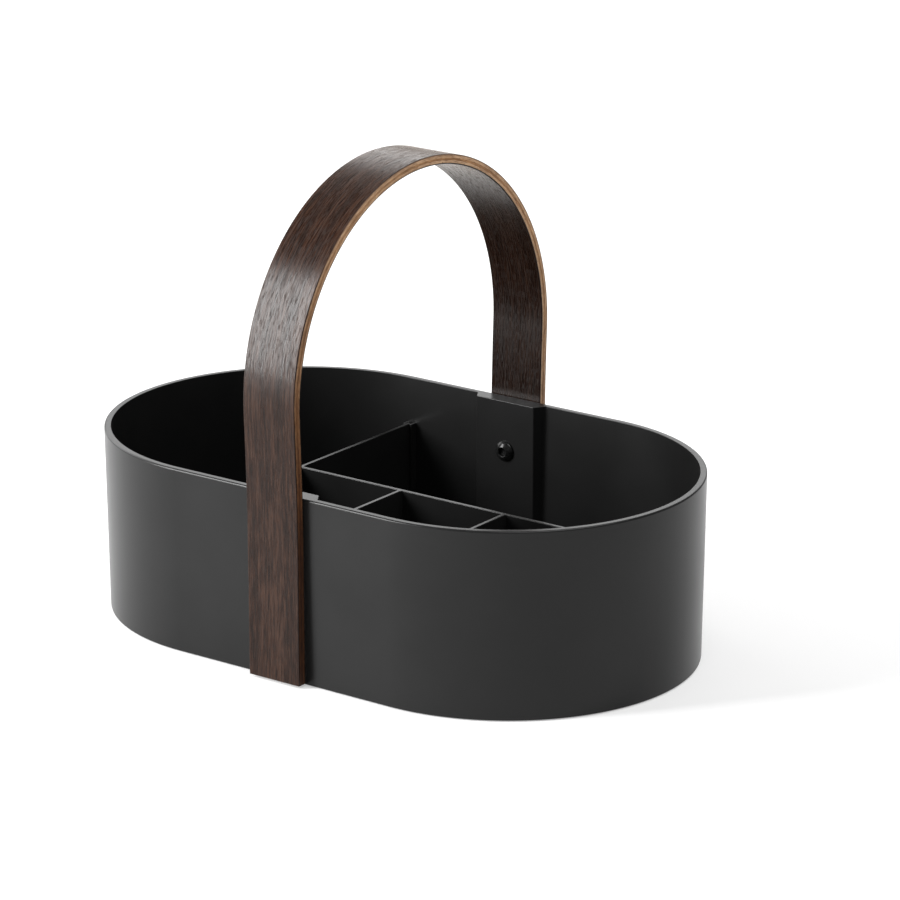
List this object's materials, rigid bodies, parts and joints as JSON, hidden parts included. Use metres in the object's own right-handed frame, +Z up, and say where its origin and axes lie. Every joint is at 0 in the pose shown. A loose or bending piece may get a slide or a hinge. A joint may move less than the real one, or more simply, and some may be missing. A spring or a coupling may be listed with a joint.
{
  "type": "tool storage caddy",
  "caption": "Open stadium-shaped desktop tub with a lift-out divider, carried by a bent laminated wood strap that arches over its middle and is screwed to both long walls.",
  "frame": {"origin": "on the surface the caddy stands on, under the middle of the tub", "axes": "+X along the tub's length, +Y to its rear wall, +Z up; the handle's arch stands in the YZ plane"},
  "size_m": [0.318, 0.204, 0.2382],
  "materials": {
    "tub_plastic": "fine-textured matte black moulding",
    "divider_plastic": "fine-textured matte black moulding",
    "dark_veneer": "dark walnut veneer, straight grain, satin lacquer",
    "core_ply": "sanded ply edge, long grain",
    "cross_ply": "sanded ply edge, end grain",
    "black_screw": "black oxide steel",
    "insert_brass": "turned",
    "pad_rubber": "matte"
  },
  "bodies": {
    "caddy": {"caddy_tub": "tub_plastic", "handle_inner_veneer": "dark_veneer", "handle_inner_ply": "core_ply", "handle_middle_ply": "cross_ply", "handle_outer_ply": "core_ply", "handle_outer_veneer": "dark_veneer", "screw_front_upper": "black_screw", "screw_front_lower": "black_screw", "screw_rear_upper": "black_screw", "screw_rear_lower": "black_screw", "threaded_insert_front_upper": "insert_brass", "threaded_insert_front_lower": "insert_brass", "threaded_insert_rear_upper": "insert_brass", "threaded_insert_rear_lower": "insert_brass", "foot_pad_front_left": "pad_rubber", "foot_pad_front_right": "pad_rubber", "foot_pad_rear_left": "pad_rubber", "foot_pad_rear_right": "pad_rubber"},
    "divider": {"divider_insert": "divider_plastic"}
  },
  "joints": [
    {"name": "divider_lift", "type": "slide", "parent": "caddy", "child": "divider", "axis": [0, 0, 1], "range_m": [0, 0.092]}
  ]
}
